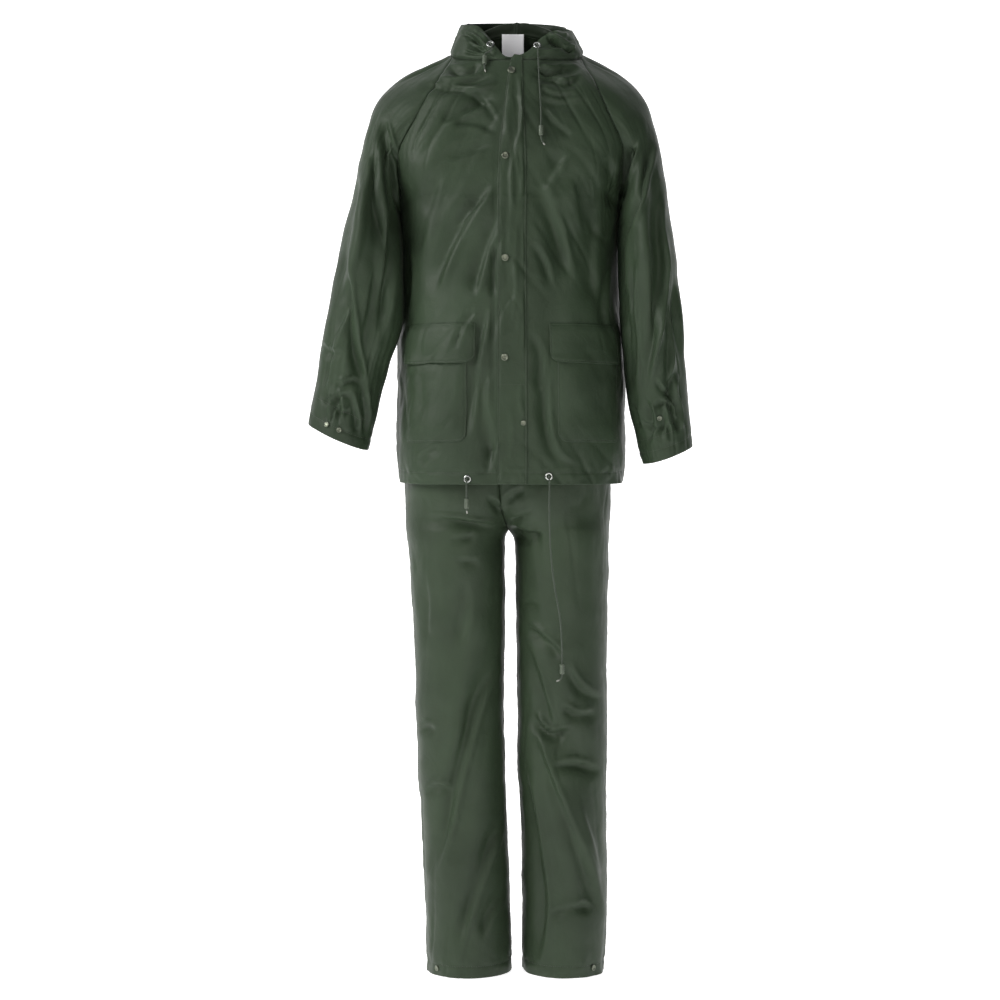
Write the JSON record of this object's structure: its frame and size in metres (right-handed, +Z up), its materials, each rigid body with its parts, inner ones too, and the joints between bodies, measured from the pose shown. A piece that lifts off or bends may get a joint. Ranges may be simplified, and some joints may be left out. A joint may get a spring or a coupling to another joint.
{
  "type": "rain suit",
  "caption": "Hooded rain jacket worn over matching rain trousers, hollow and open at neck, cuffs and hems, with storm flap, patch pockets and drawstrings.",
  "frame": {"origin": "middle of the neck opening, at the height where the collar seam rests on the wearer's shoulders", "axes": "+Z up the wearer, front towards -Y, +X towards the wearer's left"},
  "size_m": [0.664, 0.3193, 1.6752],
  "materials": {
    "jacket_cloth": "coated cloth, satin sheen, dark green",
    "trouser_cloth": "coated cloth, satin sheen, dark green",
    "label_cloth": "woven satin ribbon, off-white",
    "snap_metal": "pressed cap, dull green-grey nickel",
    "eyelet_metal": "rolled brass, bright nickel plate",
    "cord_yarn": "braided polyester, dark green",
    "barrel_plastic": "moulded, grey-green"
  },
  "bodies": {
    "root": {"jacket_front_right": "jacket_cloth", "jacket_front_left": "jacket_cloth", "jacket_back": "jacket_cloth", "sleeve_right": "jacket_cloth", "sleeve_left": "jacket_cloth", "hood_right": "jacket_cloth", "hood_left": "jacket_cloth", "pocket_right": "jacket_cloth", "pocket_left": "jacket_cloth", "pocket_flap_right": "jacket_cloth", "pocket_flap_left": "jacket_cloth", "storm_flap": "jacket_cloth", "trouser_right_front": "trouser_cloth", "trouser_right_back": "trouser_cloth", "trouser_left_front": "trouser_cloth", "trouser_left_back": "trouser_cloth", "trouser_waistband": "trouser_cloth", "snap_1": "snap_metal", "snap_2": "snap_metal", "snap_3": "snap_metal", "snap_4": "snap_metal", "snap_5": "snap_metal", "cuff_snap_right_1": "snap_metal", "cuff_snap_right_2": "snap_metal", "cuff_snap_left": "snap_metal", "hem_snap_right": "snap_metal", "hem_snap_left": "snap_metal", "hood_eyelet_right": "eyelet_metal", "hood_eyelet_left": "eyelet_metal", "hem_eyelet_right": "eyelet_metal", "hem_eyelet_left": "eyelet_metal", "neck_label": "label_cloth", "hood_cord_right": "cord_yarn", "hood_cord_left": "cord_yarn", "hem_cord_right": "cord_yarn", "hem_cord_left": "cord_yarn", "hood_barrel_right": "barrel_plastic", "hood_barrel_left": "barrel_plastic", "hem_barrel_right": "barrel_plastic", "hem_barrel_left": "barrel_plastic"}
  },
  "joints": []
}
